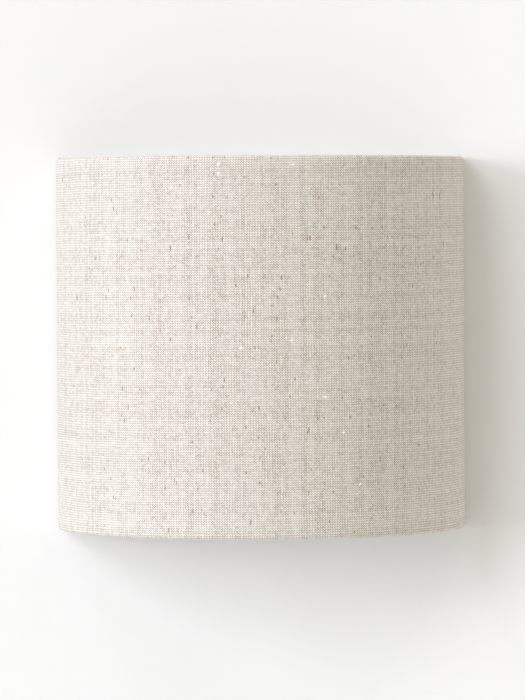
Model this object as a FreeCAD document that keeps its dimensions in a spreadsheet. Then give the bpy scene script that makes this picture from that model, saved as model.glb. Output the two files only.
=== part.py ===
import FreeCAD, Part
import math
import os
import Sketcher
from types import SimpleNamespace

# Half-round linen wall light. Millimetres; +Z is up, -Y comes out of the wall, the wall is the plane y = 0.
# The origin is on the wall, behind the centre of the shade.

doc = FreeCAD.newDocument("FabricShadeWallLight")
sheet = doc.addObject("Spreadsheet::Sheet", "Sizes")
Vector = FreeCAD.Vector

sizes = {
    # shade
    "shade_radius": 110.0,  # outside of the linen, and how far the shade comes off the wall
    "shade_height": 200.0,  # over the rolled hems
    "wall_gap": 1.0,  # from the wall to the rear hems
    "linen_thickness": 0.6,
    "liner_thickness": 0.5,
    "frame_wire_radius": 1.5,  # rings and struts
    "hem_turn": 250.0,  # degrees that a hem wraps round its ring
    "bar_width": 15.0,  # flat hanger bars
    "bar_thickness": 1.5,
    # clearances
    "seat_gap": 0.05,  # round pieces that sit in or on each other
    "hem_gap": 0.1,  # round the frame's wires in their hems
    "fit_gap": 0.1,  # plugs in sockets
    "moving_gap": 0.3,  # pieces that move past each other
    # wall plate
    "plate_width": 110.0,
    "plate_height": 150.0,
    "plate_thickness": 1.5,
    "flange_depth": 20.0,
    "plate_bend": 3.0,  # outside radius of the folds
    "flange_corner": 6.0,
    "wall_hole_spacing": 70.0,
    "wall_hole_radius": 2.25,
    "wall_hole_drop": 60.0,
    "wall_slot_rise": 60.0,
    "wall_slot_length": 12.0,
    # rubber bushes
    "cable_rise": 52.0,
    "cable_bore": 4.0,
    "cable_hole_radius": 7.5,
    "arm_bush_bore": 4.5,
    "arm_bush_hole": 6.5,
    "bush_lip": 2.0,
    "bush_flange": 2.5,
    # screws
    "screw_radius": 1.95,  # M4
    "tap_gap": 0.05,
    "slack_gap": 0.3,  # plain holes round a screw
    "head_radius": 3.8,
    "head_height": 2.4,
    "drive_radius": 1.6,
    "drive_depth": 1.3,
    "small_screw_radius": 1.45,  # M3
    "small_head_radius": 2.8,
    "small_head_height": 2.0,
    # thumb screws
    "thumb_rise": 35.0,
    "thumb_depth": 10.0,  # from the wall to the screws' axis
    "thumb_radius": 6.5,
    "thumb_length": 8.0,
    "thumb_collar_radius": 4.0,
    "thumb_collar_length": 2.0,
    "thumb_edge": 0.8,
    "knurl_radius": 0.45,
    "knurl_count": 24,
    "shank_past_nut": 1.0,
    "washer_radius": 6.0,
    "washer_thickness": 1.0,
    "weld_nut_flats": 7.0,
    "weld_nut_depth": 3.2,
    # terminal block
    "block_rise": 18.0,
    "pole_pitch": 12.0,
    "block_depth": 16.0,
    "block_height": 20.0,
    "barrel_depth": 8.0,  # from the plate's face to the barrels' axes
    "barrel_radius": 2.8,
    "barrel_bore": 1.5,
    "barrel_length": 16.0,
    "clamp_offset": 4.5,
    "clamp_radius": 1.25,
    "clamp_head_radius": 1.8,
    "clamp_head_height": 2.0,
    "clamp_well_radius": 2.1,
    "clamp_recess": 1.5,  # screw heads below the block's face
    "slot_width": 0.6,
    "slot_depth": 0.8,
    # earth point
    "earth_offset": 34.0,
    "earth_drop": 14.0,
    "tag_radius": 4.2,
    "tag_thickness": 0.8,
    "tag_tail": 8.0,
    "crimp_radius": 1.9,
    "crimp_bore": 1.3,
    "crimp_length": 7.0,
    "earth_washer_thickness": 0.8,
    # lamp arm
    "lamp_depth": 58.0,  # from the wall to the lamp's axis
    "arm_drop": 70.0,  # from the shade's centre down to the arm's upper face
    "arm_thickness": 2.0,
    "arm_width": 30.0,
    "arm_reach": 15.0,  # past the lamp's axis
    "arm_rise": 30.0,
    "arm_bend": 4.0,
    "arm_corner": 12.0,
    "arm_hole_depth": 16.0,  # from the wall to the wire hole's centre
    "arm_screw_spacing": 18.0,
    "arm_screw_rise": 20.0,
    # lampholder
    "nipple_radius": 4.9,
    "nipple_bore": 3.8,
    "nipple_inside": 3.0,
    "nipple_below_nut": 2.0,
    "holder_nut_flats": 14.0,
    "holder_nut_height": 4.0,
    "holder_radius": 19.5,
    "holder_wall": 2.0,
    "holder_foot_radius": 12.5,
    "holder_foot_curve": 13.0,
    "holder_shoulder": 12.0,
    "cup_height": 26.0,
    "cup_floor": 3.0,
    "cup_well_radius": 11.0,
    "spigot_length": 6.0,
    "spigot_wall": 1.2,
    "skirt_height": 38.0,
    "skirt_top_radius": 18.8,
    "skirt_bore": 15.0,
    "skirt_edge": 2.0,
    "insert_rise": 10.0,
    "insert_thickness": 8.0,
    "insert_leg": 1.9,
    "clamp_block": 6.0,
    "clamp_block_height": 8.0,
    "clamp_block_offset": 7.0,
    "clamp_block_bore": 1.4,
    "clamp_block_depth": 5.0,
    "shell_bore": 13.45,
    "shell_wall": 0.5,
    "shell_height": 24.0,
    "shell_floor_hole": 9.0,
    "spring_thickness": 0.4,
    "spring_rise": 2.5,
    "spring_width": 6.0,
    "spring_foot": 8.0,
    "spring_tip": 3.2,
    # bulb: heights are from its contact's lower face
    "bulb_length": 108.0,
    "bulb_radius": 30.0,
    "globe_wall": 1.0,
    "collar_top_radius": 28.5,
    "collar_wall": 1.6,
    "collar_foot": 26.6,
    "collar_neck_radius": 13.6,
    "collar_waist": 33.0,
    "collar_waist_radius": 15.2,
    "collar_curve": 9.0,
    "collar_plug": 12.0,
    "deck_drop": 8.0,
    "board_radius": 22.0,
    "board_thickness": 1.6,
    "contact_radius": 4.6,
    "contact_height": 1.3,
    "insulator_radius": 10.8,
    "insulator_top": 4.8,
    "thread_radius": 13.1,
    "thread_depth": 0.8,
    "thread_pitch": 3.629,
    "thread_start": 6.6,
    "thread_turns": 4,
    "crest_start": 0.35,  # shares of the thread's pitch, from one groove to the next
    "crest_end": 0.6,
    "groove_start": 0.95,
    "bulb_cap_wall": 0.4,
    "bulb_cap_top": 26.5,
    # inner wires
    "lead_radius": 1.2,
    "lead_spread": 1.7,  # each side of the middle, where the two run together
    "lead_sag": 14.0,  # below the arm's upper face
    "lead_insertion": 3.0,
    "lead_setback": 1.0,  # behind the middle of the arm's bush
    "lead_straight": 16.0,  # below the block, before the two start to come together
    "lead_gather": 28.0,  # the height over which they do
    "lead_climb": 20.0,  # from the low run up into the lampholder
    "lead_flare": 4.5,  # below the lampholder's clamps
    "earth_straight": 13.0,  # below the block
    "earth_reach": 10.0,  # from the crimp to the wire's bend
}


class Size:
    """A length or angle, with the expression that gives it in the document."""

    def __init__(self, value, text):
        self.value = value
        self.text = text

    def __add__(self, other):
        return Size(self.value + number(other), f"({self.text} + {words(other)})")

    def __radd__(self, other):
        return Size(number(other) + self.value, f"({words(other)} + {self.text})")

    def __sub__(self, other):
        return Size(self.value - number(other), f"({self.text} - {words(other)})")

    def __rsub__(self, other):
        return Size(number(other) - self.value, f"({words(other)} - {self.text})")

    def __mul__(self, other):
        return Size(self.value * number(other), f"({self.text} * {words(other)})")

    def __rmul__(self, other):
        return Size(number(other) * self.value, f"({words(other)} * {self.text})")

    def __truediv__(self, other):
        return Size(self.value / number(other), f"({self.text} / {words(other)})")

    def __neg__(self):
        return Size(-self.value, f"(0 - {self.text})")


def number(value):
    return value.value if isinstance(value, Size) else value


def words(value):
    return value.text if isinstance(value, Size) else f"({value})"


def root(size):
    return Size(math.sqrt(size.value), f"sqrt({size.text})")


def cosine(size):
    return Size(math.cos(math.radians(size.value)), f"cos({size.text} * 1deg)")


def sine(size):
    return Size(math.sin(math.radians(size.value)), f"sin({size.text} * 1deg)")


def arcsine(size):
    return Size(math.degrees(math.asin(size.value)), f"(asin({size.text}) / 1deg)")


d = SimpleNamespace()
for row, (alias, value) in enumerate(sizes.items(), start=1):
    sheet.set(f"A{row}", alias)
    sheet.set(f"B{row}", str(value))
    sheet.setAlias(f"B{row}", alias)
    setattr(d, alias, Size(value, f"Sizes.{alias}"))
doc.recompute()

UPRIGHT = FreeCAD.Rotation()
OUT_OF_WALL = FreeCAD.Rotation(Vector(1, 0, 0), 90)  # turns +Z to -Y
ALONG_X = FreeCAD.Rotation(Vector(0, 1, 0), 90)  # turns +Z to +X
ALONG_MINUS_X = FreeCAD.Rotation(Vector(0, 1, 0), -90)
parts = {}


def keep(name, made):
    """Gives a finished sub-part its node name."""
    made.Label = name
    parts[name] = made
    return made


def bind(made, prop, value):
    """Sets one property, tied to the sheet where the value is a size."""
    if "." not in prop:
        setattr(made, prop, number(value))
    if isinstance(value, Size):
        made.setExpression(prop, value.text)


def place(made, x=0, y=0, z=0, turn=UPRIGHT):
    made.Placement = FreeCAD.Placement(Vector(number(x), number(y), number(z)), turn)
    for axis, value in (("x", x), ("y", y), ("z", z)):
        bind(made, f"Placement.Base.{axis}", value)
    return made


def box(name, x, y, z):
    """A box from low to high along each axis."""
    made = doc.addObject("Part::Box", name)
    bind(made, "Length", x[1] - x[0])
    bind(made, "Width", y[1] - y[0])
    bind(made, "Height", z[1] - z[0])
    return place(made, x[0], y[0], z[0])


def rod(name, radius, length, x=0, y=0, z=0, turn=UPRIGHT):
    """A round rod that starts at x, y, z and runs the way that turn points +Z."""
    made = doc.addObject("Part::Cylinder", name)
    bind(made, "Radius", radius)
    bind(made, "Height", length)
    return place(made, x, y, z, turn)


def cut(name, base, tools):
    made = doc.addObject("Part::Cut", name)
    made.Base = base
    made.Tool = tools[0] if len(tools) == 1 else join(f"{name}_tools", tools)
    return made


def join(name, pieces):
    made = doc.addObject("Part::MultiFuse", name)
    made.Shapes = pieces
    return made


def group(name, pieces):
    """Separate solids in one node."""
    made = doc.addObject("Part::Compound", name)
    made.Links = pieces
    return made


def arc_between(start, end, radius, turn):
    """The arc of up to half a turn from start to end; turn is 1 to the left and -1 to the right."""
    chord = end - start
    half = chord.Length / 2
    side = Vector(-chord.y, chord.x, 0).normalize() * turn
    centre = (start + end) / 2 + side * math.sqrt(max(radius * radius - half * half, 0.0))
    first, last = (start, end) if turn > 0 else (end, start)
    from_angle = math.atan2(first.y - centre.y, first.x - centre.x)
    to_angle = math.atan2(last.y - centre.y, last.x - centre.x)
    return Part.ArcOfCircle(Part.Circle(centre, Vector(0, 0, 1), radius), from_angle, to_angle)


def draw_loop(sketch, corners):
    """Adds one closed outline, every corner tied to the sheet.

    A corner is (x, y), or (x, y, radius) where an arc leads to it from the corner before, positive for a
    left turn. For a half circle the third entry is "left" or "right", and its chord is upright.
    """
    edges = []
    for index, corner in enumerate(corners):
        before = corners[index - 1]
        start = Vector(number(before[0]), number(before[1]), 0)
        end = Vector(number(corner[0]), number(corner[1]), 0)
        bend = corner[2] if len(corner) > 2 else None
        if bend is None:
            edge = sketch.addGeometry(Part.LineSegment(start, end), False)
            edges.append((edge, 1, 2))
            continue
        half_circle = bend in ("left", "right")
        leftwards = bend == "left" if half_circle else number(bend) > 0
        radius = (end - start).Length / 2 if half_circle else abs(number(bend))
        edge = sketch.addGeometry(arc_between(start, end, radius, 1 if leftwards else -1), False)
        edges.append((edge, 1, 2) if leftwards else (edge, 2, 1))
        if half_circle:
            sketch.addConstraint(Sketcher.Constraint("Vertical", edge, 3, edge, 1))
            continue
        at = sketch.addConstraint(Sketcher.Constraint("Radius", edge, radius))
        if isinstance(bend, Size):
            sketch.setExpression(f"Constraints[{at}]", bend.text if leftwards else (-bend).text)
    for index, (edge, _, end) in enumerate(edges):
        following, start, _ = edges[(index + 1) % len(edges)]
        sketch.addConstraint(Sketcher.Constraint("Coincident", edge, end, following, start))
        x, y = corners[index][:2]
        for kind, axis, value in (("DistanceX", -2, x), ("DistanceY", -1, y)):
            if not isinstance(value, Size) and value == 0:
                sketch.addConstraint(Sketcher.Constraint("PointOnObject", edge, end, axis))
                continue
            at = sketch.addConstraint(Sketcher.Constraint(kind, -1, 1, edge, end, number(value)))
            if isinstance(value, Size):
                sketch.setExpression(f"Constraints[{at}]", value.text)


def draw_circle(sketch, x, y, radius):
    centre = Vector(number(x), number(y), 0)
    edge = sketch.addGeometry(Part.Circle(centre, Vector(0, 0, 1), number(radius)), False)
    at = sketch.addConstraint(Sketcher.Constraint("Radius", edge, number(radius)))
    sketch.setExpression(f"Constraints[{at}]", radius.text)
    for kind, axis, value in (("DistanceX", -2, x), ("DistanceY", -1, y)):
        if not isinstance(value, Size) and value == 0:
            sketch.addConstraint(Sketcher.Constraint("PointOnObject", edge, 3, axis))
            continue
        at = sketch.addConstraint(Sketcher.Constraint(kind, -1, 1, edge, 3, number(value)))
        sketch.setExpression(f"Constraints[{at}]", value.text)


def new_sketch(body, role, name, loops=(), circles=(), shift=None):
    """A sketch in one of the body's own planes, moved along the plane's normal by shift."""
    plane = next(item for item in body.Origin.OriginFeatures if item.Role == role)
    sketch = body.newObject("Sketcher::SketchObject", name)
    sketch.AttachmentSupport = [(plane, "")]
    sketch.MapMode = "FlatFace"
    if shift is not None:
        sketch.AttachmentOffset = FreeCAD.Placement(Vector(0, 0, number(shift)), UPRIGHT)
        bind(sketch, "AttachmentOffset.Base.z", shift)
    for corners in loops:
        draw_loop(sketch, corners)
    for x, y, radius in circles:
        draw_circle(sketch, x, y, radius)
    return sketch


def turned(name, corners, x=0, y=0, z=0, turn=UPRIGHT, sweep=360.0):
    """A body of revolution; corners are (radius, height), and a part sweep is centred on its own +X."""
    body = doc.addObject("PartDesign::Body", name)
    sketch = new_sketch(body, "XZ_Plane", f"{name}_section", [corners])
    revolve = body.newObject("PartDesign::Revolution", f"{name}_turn")
    revolve.Profile = sketch
    revolve.ReferenceAxis = (sketch, ["V_Axis"])
    revolve.Midplane = True
    bind(revolve, "Angle", sweep)
    return place(body, x, y, z, turn)


def pressed(name, role, thickness, loops=(), circles=(), shift=None, middle=False):
    """A body of even thickness, padded from a sketch along the plane's normal."""
    body = doc.addObject("PartDesign::Body", name)
    sketch = new_sketch(body, role, f"{name}_outline", loops, circles, shift)
    pad = body.newObject("PartDesign::Pad", f"{name}_pad")
    pad.Profile = sketch
    pad.Midplane = middle
    bind(pad, "Length", thickness)
    return body


def pierce(body, role, name, loops=(), circles=()):
    """Cuts outlines right through a body, both ways from one of its planes."""
    before = body.Tip
    doc.recompute()
    sketch = new_sketch(body, role, f"{name}_sketch", loops, circles)
    pocket = body.newObject("PartDesign::Pocket", name)
    pocket.Profile = sketch
    pocket.Type = "ThroughAll"
    pocket.Midplane = True
    doc.recompute()
    if not pocket.Shape.Volume < before.Shape.Volume - 1e-6:
        raise RuntimeError(f"{name} removes nothing")
    return pocket


def round_edges(body, name, radius, chosen):
    """Fillets the edges of the body's tip whose middle point passes the test."""
    doc.recompute()
    base = body.Tip
    names = []
    for index, edge in enumerate(base.Shape.Edges, start=1):
        if chosen(edge):
            names.append(f"Edge{index}")
    if not names:
        raise RuntimeError(f"{name} finds no edge")
    fillet = body.newObject("PartDesign::Fillet", name)
    fillet.Base = (base, names)
    bind(fillet, "Radius", radius)


def middle_of(edge):
    return edge.valueAt((edge.FirstParameter + edge.LastParameter) / 2)


def straight_along(edge, axis):
    """Whether an edge is a straight line along the unit vector."""
    if not isinstance(edge.Curve, Part.Line):
        return False
    return abs(abs(edge.tangentAt(edge.FirstParameter).dot(axis)) - 1) < 1e-6


# ---- shade: shared places ----
hem_bore = d.frame_wire_radius + d.hem_gap
hem_radius = hem_bore + d.linen_thickness
ring_radius = d.shade_radius - hem_radius  # to the ring wire's centre
ring_rise = d.shade_height / 2 - hem_radius
rear_depth = d.wall_gap + hem_radius  # from the wall to the rear wires' centres
strut_x = root(ring_radius * ring_radius - rear_depth * rear_depth)
rear_angle = arcsine(rear_depth / ring_radius)  # of the rear wires, off the wall plane
linen_inside = d.shade_radius - d.linen_thickness
front_sweep = 180 - 2 * rear_angle
TO_FRONT = FreeCAD.Rotation(Vector(0, 0, 1), -90)
SIDES = (("left", -1), ("right", 1))
ENDS = (("top", 1), ("bottom", -1))


def make_shade_fabric():
    hem_end_x = cosine(d.hem_turn)
    hem_end_y = sine(d.hem_turn)
    wall = turned(
        "fabric_wall",
        [
            (d.shade_radius, -ring_rise, hem_radius),
            (d.shade_radius, ring_rise),
            (ring_radius, ring_rise + hem_radius, hem_radius),
            (ring_radius - hem_radius, ring_rise, hem_radius),
            (ring_radius + hem_radius * hem_end_x, ring_rise + hem_radius * hem_end_y, hem_radius),
            (ring_radius + hem_bore * hem_end_x, ring_rise + hem_bore * hem_end_y),
            (ring_radius - hem_bore, ring_rise, -hem_bore),
            (ring_radius, ring_rise + hem_bore, -hem_bore),
            (linen_inside, ring_rise, -hem_bore),
            (linen_inside, -ring_rise),
            (ring_radius, -ring_rise - hem_bore, -hem_bore),
            (ring_radius - hem_bore, -ring_rise, -hem_bore),
            (ring_radius + hem_bore * hem_end_x, -ring_rise - hem_bore * hem_end_y, -hem_bore),
            (ring_radius + hem_radius * hem_end_x, -ring_rise - hem_radius * hem_end_y),
            (ring_radius - hem_radius, -ring_rise, hem_radius),
            (ring_radius, -ring_rise - hem_radius, hem_radius),
        ],
        turn=TO_FRONT,
        sweep=front_sweep,
    )
    pieces = [wall]
    hollows = []
    for side, sign in SIDES:
        # a half tube round each strut, and a quarter of a ball at its ends, start where the wall stops
        turn_axis = Vector(0, 0, -sign)
        for label, radius, into in (("hem", hem_radius, pieces), ("bore", hem_bore, hollows)):
            tube = rod(f"{side}_{label}", radius, ring_rise * 2, sign * strut_x, -rear_depth, -ring_rise)
            tube.Placement.Rotation = FreeCAD.Rotation(turn_axis, rear_angle.value)
            bind(tube, "Placement.Rotation.Angle", rear_angle)
            if label == "hem":
                tube.Angle = 180
            into.append(tube)
            for end, rise in ENDS:
                ball = doc.addObject("Part::Sphere", f"{side}_{end}_{label}_ball")
                bind(ball, "Radius", radius)
                place(ball, sign * strut_x, -rear_depth, rise * ring_rise)
                ball.Placement.Rotation = FreeCAD.Rotation(turn_axis, rear_angle.value)
                bind(ball, "Placement.Rotation.Angle", rear_angle)
                if label == "hem":
                    ball.Angle1 = 0 if rise > 0 else -90
                    ball.Angle2 = 90 if rise > 0 else 0
                    ball.Angle3 = 180
                into.append(ball)
    for end, rise in ENDS:
        hollows.append(
            rod(f"{end}_wire_way", hem_bore, strut_x * 2, -strut_x, -rear_depth, rise * ring_rise, ALONG_X)
        )
    keep("shade_fabric", cut("fabric", join("fabric_whole", pieces), hollows))


def make_shade_frame():
    for end, rise in ENDS:
        arc = doc.addObject("Part::Torus", f"{end}_ring_arc")
        bind(arc, "Radius1", ring_radius)
        bind(arc, "Radius2", d.frame_wire_radius)
        place(arc, 0, 0, rise * ring_rise)
        arc.Placement.Rotation = FreeCAD.Rotation(Vector(0, 0, 1), 180 + rear_angle.value)
        bind(arc, "Placement.Rotation.Angle", 180 + rear_angle)
        bind(arc, "Angle3", front_sweep)
        pieces = [arc]
        pieces.append(
            rod(
                f"{end}_back_wire",
                d.frame_wire_radius,
                strut_x * 2,
                -strut_x,
                -rear_depth,
                rise * ring_rise,
                ALONG_X,
            )
        )
        for side, sign in SIDES:
            ball = doc.addObject("Part::Sphere", f"{side}_{end}_corner")
            bind(ball, "Radius", d.frame_wire_radius)
            place(ball, sign * strut_x, -rear_depth, rise * ring_rise)
            pieces.append(ball)
        keep(f"{end}_ring", join(f"{end}_ring_wire", pieces))
    strut_top = ring_rise - d.frame_wire_radius - d.seat_gap
    slot_radius = d.screw_radius + d.slack_gap
    bar_rear = d.frame_wire_radius - rear_depth
    for side, sign in SIDES:
        strut = rod(
            f"{side}_strut_wire",
            d.frame_wire_radius,
            strut_top * 2,
            sign * strut_x,
            -rear_depth,
            -strut_top,
        )
        keep(f"{side}_strut", strut)
        bar = pressed(
            f"{side}_bar",
            "YZ_Plane",
            d.bar_thickness,
            [
                [
                    (bar_rear - d.bar_width, -strut_top),
                    (bar_rear, -strut_top),
                    (bar_rear, d.thumb_rise - slot_radius),
                    (-d.thumb_depth, d.thumb_rise - slot_radius),
                    (-d.thumb_depth, d.thumb_rise + slot_radius, "right"),
                    (bar_rear, d.thumb_rise + slot_radius),
                    (bar_rear, strut_top),
                    (bar_rear - d.bar_width, strut_top),
                ]
            ],
            middle=True,
        )
        place(bar, sign * bar_centre)
        keep(f"{side}_hanger_bar", bar)


def make_shade_liner():
    liner_outside = linen_inside - d.seat_gap
    liner_top = ring_rise - d.frame_wire_radius - d.moving_gap
    liner_inside = liner_outside - d.liner_thickness
    liner_edge = arcsine((rear_depth + d.frame_wire_radius + d.moving_gap) / liner_inside)
    liner = turned(
        "liner",
        [
            (liner_inside, -liner_top),
            (liner_outside, -liner_top),
            (liner_outside, liner_top),
            (liner_inside, liner_top),
        ],
        turn=TO_FRONT,
        sweep=180 - 2 * liner_edge,
    )
    keep("shade_liner", liner)


# ---- bracket: shared places ----
bar_centre = d.plate_width / 2 + d.moving_gap + d.bar_thickness / 2
plate_face = -d.plate_thickness
tap_radius = d.screw_radius + d.tap_gap
small_tap_radius = d.small_screw_radius + d.tap_gap
pole_places = (-1, 0, 1)
fixing_places = (-0.5, 0.5)
arm_top = -d.arm_drop
arm_under = arm_top - d.arm_thickness
arm_screw_z = arm_top + d.arm_screw_rise
arm_face = plate_face - d.arm_thickness


def make_wall_plate():
    half = d.plate_width / 2
    inner_bend = d.plate_bend - d.plate_thickness
    plate = pressed(
        "plate",
        "XY_Plane",
        d.plate_height,
        [
            [
                (-half, -d.flange_depth),
                (-half + d.plate_thickness, -d.flange_depth),
                (-half + d.plate_thickness, -d.plate_bend),
                (-half + d.plate_bend, plate_face, -inner_bend),
                (half - d.plate_bend, plate_face),
                (half - d.plate_thickness, -d.plate_bend, -inner_bend),
                (half - d.plate_thickness, -d.flange_depth),
                (half, -d.flange_depth),
                (half, -d.plate_bend),
                (half - d.plate_bend, 0, d.plate_bend),
                (-half + d.plate_bend, 0),
                (-half, -d.plate_bend, d.plate_bend),
            ]
        ],
        middle=True,
    )
    slot_half = d.wall_slot_length / 2 - d.wall_hole_radius
    slot_low = d.wall_slot_rise - d.wall_hole_radius
    slot_high = d.wall_slot_rise + d.wall_hole_radius
    slots = []
    circles = [(0, d.cable_rise, d.cable_hole_radius)]
    for _, sign in SIDES:
        middle = sign * d.wall_hole_spacing / 2
        slots.append(
            [
                (middle - slot_half, slot_low, "left"),
                (middle + slot_half, slot_low),
                (middle + slot_half, slot_high, "left"),
                (middle - slot_half, slot_high),
            ]
        )
        circles.append((middle, -d.wall_hole_drop, d.wall_hole_radius))
        circles.append((sign * d.arm_screw_spacing / 2, arm_screw_z, tap_radius))
    for place_along in fixing_places:
        circles.append((place_along * d.pole_pitch, d.block_rise, small_tap_radius))
    circles.append((-d.earth_offset, -d.earth_drop, tap_radius))
    pierce(plate, "XZ_Plane", "plate_holes", slots, circles)
    pierce(plate, "YZ_Plane", "flange_holes", circles=[(-d.thumb_depth, d.thumb_rise, tap_radius)])
    round_edges(
        plate,
        "flange_rounding",
        d.flange_corner,
        lambda edge: straight_along(edge, Vector(1, 0, 0))
        and abs(middle_of(edge).y + number(d.flange_depth)) < 0.01,
    )
    keep("wall_plate", plate)


def make_bush(name, bore, hole_radius, plate_thickness, lips, x, y, z, turn):
    """A rubber bush in a sheet; lips says whether it has a lip on both faces of the sheet or on one."""
    neck = hole_radius - d.fit_gap
    lip = hole_radius + d.bush_flange
    low = -plate_thickness / 2
    high = plate_thickness / 2
    corners = [
        (bore, low - d.bush_lip if lips == 2 else low + d.fit_gap),
        (neck, low + d.fit_gap),
        (neck, high),
        (lip, high),
        (lip, high + d.bush_lip / 2),
        (lip - d.bush_lip / 2, high + d.bush_lip, d.bush_lip / 2),
        (bore, high + d.bush_lip),
    ]
    if lips == 2:
        corners[1:2] = [
            (lip - d.bush_lip / 2, low - d.bush_lip),
            (lip, low - d.bush_lip / 2, d.bush_lip / 2),
            (lip, low),
            (neck, low),
        ]
    keep(name, turned(f"{name}_ring", corners, x, y, z, turn))


def make_screw(name, radius, length, head_radius, head_height, x, y, z):
    """A pan-head screw with a round drive hole, its head's underside at x, y, z and its shank to +Y."""
    shank = rod(f"{name}_shank", radius, length, x, y + length, z, OUT_OF_WALL)
    head = rod(f"{name}_head", head_radius, head_height, x, y, z, OUT_OF_WALL)
    drive = doc.addObject("Part::Prism", f"{name}_drive")
    drive.Polygon = 6
    bind(drive, "Circumradius", d.drive_radius)
    bind(drive, "Height", d.drive_depth)
    place(drive, x, y - head_height + d.drive_depth, z, OUT_OF_WALL)
    return cut(name, join(f"{name}_blank", [shank, head]), [drive])


def make_terminal_block():
    low_z = d.block_rise - d.block_height / 2
    high_z = d.block_rise + d.block_height / 2
    front = plate_face - d.block_depth
    axis_y = plate_face - d.barrel_depth
    half_width = d.pole_pitch * len(pole_places) / 2
    channel = d.barrel_radius + d.fit_gap
    barrel_low = d.block_rise - d.barrel_length / 2
    housing = box("housing_block", (-half_width, half_width), (front, plate_face), (low_z, high_z))
    openings = []
    barrels = []
    screws = []
    for pole in pole_places:
        pole_x = pole * d.pole_pitch
        tag = f"pole_{pole + 2}"
        openings.append(rod(f"{tag}_channel", channel, d.block_height, pole_x, axis_y, low_z))
        solid = rod(f"{tag}_barrel", d.barrel_radius, d.barrel_length, pole_x, axis_y, barrel_low)
        holes = [rod(f"{tag}_bore", d.barrel_bore, d.barrel_length, pole_x, axis_y, barrel_low)]
        for _, sign in ENDS:
            screw_z = d.block_rise + sign * d.clamp_offset
            mark = f"{tag}_{'upper' if sign > 0 else 'lower'}"
            well = d.block_depth - d.barrel_depth
            openings.append(
                rod(f"{mark}_well", d.clamp_well_radius, well, pole_x, axis_y, screw_z, OUT_OF_WALL)
            )
            holes.append(
                rod(f"{mark}_tap", d.clamp_radius + d.tap_gap, channel, pole_x, axis_y, screw_z, OUT_OF_WALL)
            )
            tip_y = axis_y - d.barrel_bore
            head_y = front + d.clamp_recess
            shank = rod(f"{mark}_shank", d.clamp_radius, tip_y - head_y, pole_x, tip_y, screw_z, OUT_OF_WALL)
            head = rod(
                f"{mark}_head",
                d.clamp_head_radius,
                d.clamp_head_height,
                pole_x,
                head_y + d.clamp_head_height,
                screw_z,
                OUT_OF_WALL,
            )
            slot = box(
                f"{mark}_slot",
                (pole_x - d.clamp_head_radius, pole_x + d.clamp_head_radius),
                (head_y, head_y + d.slot_depth),
                (screw_z - d.slot_width / 2, screw_z + d.slot_width / 2),
            )
            screws.append(cut(f"{mark}_screw", join(f"{mark}_blank", [shank, head]), [slot]))
        barrels.append(cut(f"{tag}_brass", solid, holes))
    fixings = []
    for place_along in fixing_places:
        fixing_x = place_along * d.pole_pitch
        mark = "left_fixing" if place_along < 0 else "right_fixing"
        openings.append(
            rod(
                f"{mark}_hole",
                d.small_screw_radius + d.slack_gap,
                d.block_depth,
                fixing_x,
                plate_face,
                d.block_rise,
                OUT_OF_WALL,
            )
        )
        length = d.block_depth + d.plate_thickness - d.moving_gap
        fixings.append(
            make_screw(
                mark,
                d.small_screw_radius,
                length,
                d.small_head_radius,
                d.small_head_height,
                fixing_x,
                front,
                d.block_rise,
            )
        )
    keep("terminal_housing", cut("housing", housing, openings))
    keep("terminal_barrels", group("barrels", barrels))
    keep("terminal_screws", group("clamp_screws", screws))
    keep("terminal_fixings", group("fixing_screws", fixings))


def make_earth_point():
    tag_front = plate_face - d.tag_thickness
    washer_front = tag_front - d.earth_washer_thickness
    x = -d.earth_offset
    z = -d.earth_drop
    hole = d.screw_radius + d.slack_gap
    crimp_x = x + d.tag_tail
    crimp_y = plate_face - d.crimp_radius - d.seat_gap
    ring = rod("tag_ring", d.tag_radius, d.tag_thickness, x, plate_face, z, OUT_OF_WALL)
    tail = box(
        "tag_tail",
        (x, crimp_x + d.crimp_radius),
        (tag_front, plate_face),
        (z - d.crimp_radius, z + d.crimp_radius),
    )
    crimp = rod("tag_crimp", d.crimp_radius, d.crimp_length, crimp_x, crimp_y, z, ALONG_X)
    screw_way = rod("tag_hole", hole, d.tag_thickness, x, plate_face, z, OUT_OF_WALL)
    wire_way = rod("tag_bore", d.crimp_bore, d.crimp_length, crimp_x, crimp_y, z, ALONG_X)
    keep("earth_tag", cut("tag", join("tag_blank", [ring, tail, crimp]), [screw_way, wire_way]))
    disc = rod("washer_disc", d.tag_radius, d.earth_washer_thickness, x, tag_front, z, OUT_OF_WALL)
    washer_hole = rod("washer_hole", hole, d.earth_washer_thickness, x, tag_front, z, OUT_OF_WALL)
    keep("earth_washer", cut("toothed_washer", disc, [washer_hole]))
    length = -washer_front - d.moving_gap
    earth = make_screw("earth", d.screw_radius, length, d.head_radius, d.head_height, x, washer_front, z)
    keep("earth_screw", earth)


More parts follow.
